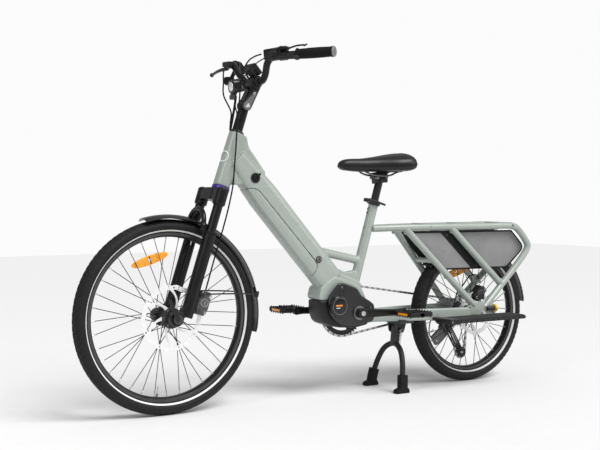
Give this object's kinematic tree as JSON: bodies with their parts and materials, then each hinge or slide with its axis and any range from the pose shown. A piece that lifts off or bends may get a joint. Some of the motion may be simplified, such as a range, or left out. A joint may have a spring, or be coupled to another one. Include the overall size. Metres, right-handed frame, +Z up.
{
  "type": "cargo bicycle",
  "caption": "Step-through electric cargo bicycle with suspension fork, welded rear rack, footboards and a double stand.",
  "frame": {"origin": "on the ground below the middle of the bicycle's length and width", "axes": "+X points to the rear of the bicycle, +Y to the rider's right, +Z up"},
  "size_m": [1.828, 0.6328, 1.171],
  "materials": {
    "frame_paint": "satin sage green",
    "battery_paint": "satin sage green",
    "black_metal": "satin black",
    "gloss_black": "gloss black",
    "black_plastic": "matte black",
    "dark_plastic": "dark grey",
    "grey_panel": "flat grey",
    "soft_rubber": "matte",
    "tyre_rubber": "grooved tread",
    "bright_steel": "brushed",
    "saddle_cover": "smooth padded cover"
  },
  "bodies": {
    "frame": {"main_frame": "frame_paint", "rear_frame_left": "frame_paint", "rear_frame_right": "frame_paint", "seat_clamp": "black_metal", "motor_unit": "black_plastic", "motor_cover": "dark_plastic", "chain": "bright_steel", "derailleur_body": "dark_plastic", "rear_fender": "gloss_black", "side_panel_left": "grey_panel", "side_panel_right": "grey_panel", "footboard_left": "black_plastic", "footboard_right": "black_plastic", "rear_caliper": "black_metal", "rear_axle": "bright_steel", "rear_hose_tail": "soft_rubber", "shift_cable_tail": "soft_rubber"},
    "battery": {"battery": "battery_paint"},
    "key_lock": {"key_lock": "bright_steel"},
    "charge_cap": {"charge_port_cap": "soft_rubber"},
    "clamp_lever": {"seat_clamp_lever": "black_metal"},
    "seat": {"seatpost": "black_metal", "saddle": "saddle_cover"},
    "crankset": {"crank_left": "black_metal", "crank_right": "black_metal", "chainring": "black_metal"},
    "pedal_left": {"pedal_left": "black_plastic"},
    "pedal_right": {"pedal_right": "black_plastic"},
    "cassette": {"cassette": "bright_steel"},
    "cage": {"derailleur_cage": "black_metal"},
    "jockey_upper": {"jockey_upper": "black_plastic"},
    "jockey_lower": {"jockey_lower": "black_plastic"},
    "kickstand": {"kickstand": "black_metal"},
    "rear_wheel": {"rear_tyre": "tyre_rubber", "rear_wheel": "black_metal", "rear_rotor": "bright_steel"},
    "steering": {"fork_upper": "black_metal", "stem_riser": "black_metal", "control_loom": "soft_rubber", "front_brake_hose": "soft_rubber"},
    "fork_slider": {"fork_lower": "black_metal", "front_axle": "bright_steel", "front_caliper": "black_metal", "front_fender": "gloss_black"},
    "front_wheel": {"front_tyre": "tyre_rubber", "front_wheel": "black_metal", "front_rotor": "bright_steel"},
    "cockpit": {"stem_arm": "black_metal", "handlebar": "black_metal", "grip_left": "soft_rubber", "grip_right": "soft_rubber", "brake_perch_left": "black_plastic", "brake_perch_right": "black_plastic", "shifter": "black_plastic"},
    "brake_lever_left": {"brake_lever_left": "black_plastic"},
    "brake_lever_right": {"brake_lever_right": "black_plastic"},
    "shift_trigger": {"shift_trigger": "black_plastic"},
    "display": {"display": "gloss_black"},
    "mode_button": {"mode_button": "soft_rubber"},
    "headlight": {"headlight": "black_plastic"}
  },
  "joints": [
    {"name": "battery_slide", "type": "slide", "parent": "frame", "child": "battery", "axis": [-0.7494, 0, -0.6622], "range_m": [0, 0.06]},
    {"name": "key_turn", "type": "hinge", "parent": "frame", "child": "key_lock", "pos_m": [-0.0482, 0, 0.4814], "axis": [0, 1, 0], "range_deg": [0, 90]},
    {"name": "charge_cap_pull", "type": "slide", "parent": "frame", "child": "charge_cap", "axis": [0, -1, 0], "range_m": [0, 0.02]},
    {"name": "clamp_lever_swing", "type": "hinge", "parent": "frame", "child": "clamp_lever", "pos_m": [0.17879, -0.019, 0.68433], "axis": [-0.2871, 0, -0.9579], "range_deg": [0, 120]},
    {"name": "seat_height", "type": "slide", "parent": "frame", "child": "seat", "axis": [0.2871, 0, 0.9579], "range_m": [-0.03, 0.1]},
    {"name": "crank_spin", "type": "hinge", "parent": "frame", "child": "crankset", "pos_m": [0.106, 0, 0.291], "axis": [0, 1, 0], "continuous": true},
    {"name": "pedal_left_spin", "type": "hinge", "parent": "crankset", "child": "pedal_left", "pos_m": [0.276, -0.15, 0.287], "axis": [0, 1, 0], "continuous": true},
    {"name": "pedal_right_spin", "type": "hinge", "parent": "crankset", "child": "pedal_right", "pos_m": [-0.064, 0.15, 0.295], "axis": [0, 1, 0], "continuous": true},
    {"name": "cassette_spin", "type": "hinge", "parent": "frame", "child": "cassette", "pos_m": [0.642, 0, 0.259], "axis": [0, 1, 0], "continuous": true},
    {"name": "cage_swing", "type": "hinge", "parent": "frame", "child": "cage", "pos_m": [0.593, 0, 0.193], "axis": [0, 1, 0], "range_deg": [-20, 10], "stiffness_Nm_per_rad": 4, "deforming": ["chain"]},
    {"name": "jockey_upper_spin", "type": "hinge", "parent": "cage", "child": "jockey_upper", "pos_m": [0.562, 0.047, 0.243], "axis": [0, 1, 0], "continuous": true},
    {"name": "jockey_lower_spin", "type": "hinge", "parent": "cage", "child": "jockey_lower", "pos_m": [0.651, 0.047, 0.1], "axis": [0, 1, 0], "continuous": true},
    {"name": "kickstand_fold", "type": "hinge", "parent": "frame", "child": "kickstand", "pos_m": [0.308, 0, 0.213], "axis": [0, -1, 0], "range_deg": [0, 90]},
    {"name": "rear_wheel_spin", "type": "hinge", "parent": "frame", "child": "rear_wheel", "pos_m": [0.642, 0, 0.259], "axis": [0, 1, 0], "continuous": true},
    {"name": "steering_turn", "type": "hinge", "parent": "frame", "child": "steering", "pos_m": [-0.4082, 0, 0.719], "axis": [0.309, 0, 0.9511], "range_deg": [-45, 45], "deforming": ["control_loom", "front_brake_hose"]},
    {"name": "fork_travel", "type": "slide", "parent": "steering", "child": "fork_slider", "axis": [0.309, 0, 0.9511], "range_m": [0, 0.06], "stiffness_N_per_m": 8000, "springref_m": -0.03},
    {"name": "front_wheel_spin", "type": "hinge", "parent": "fork_slider", "child": "front_wheel", "pos_m": [-0.601, 0, 0.313], "axis": [0, 1, 0], "continuous": true},
    {"name": "stem_tilt", "type": "hinge", "parent": "steering", "child": "cockpit", "pos_m": [-0.31766, 0, 0.99766], "axis": [0, 1, 0], "range_deg": [-20, 25]},
    {"name": "brake_left_pull", "type": "hinge", "parent": "cockpit", "child": "brake_lever_left", "pos_m": [-0.301, -0.16, 1.137], "axis": [0, 0, 1], "range_deg": [0, 20], "stiffness_Nm_per_rad": 4, "springref_deg": -5.73},
    {"name": "brake_right_pull", "type": "hinge", "parent": "cockpit", "child": "brake_lever_right", "pos_m": [-0.301, 0.16, 1.137], "axis": [0, 0, -1], "range_deg": [0, 20], "stiffness_Nm_per_rad": 4, "springref_deg": -5.73},
    {"name": "shift_push", "type": "hinge", "parent": "cockpit", "child": "shift_trigger", "pos_m": [-0.271, 0.18, 1.079], "axis": [0, 0, 1], "range_deg": [0, 25], "stiffness_Nm_per_rad": 1, "springref_deg": -5.73},
    {"name": "display_tilt", "type": "hinge", "parent": "cockpit", "child": "display", "pos_m": [-0.277, 0, 1.079], "axis": [0, 1, 0], "range_deg": [-15, 15]},
    {"name": "mode_press", "type": "slide", "parent": "display", "child": "mode_button", "axis": [-0.7507, 0, -0.6606], "range_m": [0, 0.0015], "stiffness_N_per_m": 500, "springref_m": -0.0005},
    {"name": "headlight_tilt", "type": "hinge", "parent": "cockpit", "child": "headlight", "pos_m": [-0.323, 0, 1.064], "axis": [0, 1, 0], "range_deg": [-10, 8]}
  ],
  "couplings": [
    {"joint": "cassette_spin", "follows": "crank_spin", "ratio": 2.3},
    {"joint": "jockey_upper_spin", "follows": "crank_spin", "ratio": -4.1818},
    {"joint": "jockey_lower_spin", "follows": "crank_spin", "ratio": 4.1818}
  ]
}
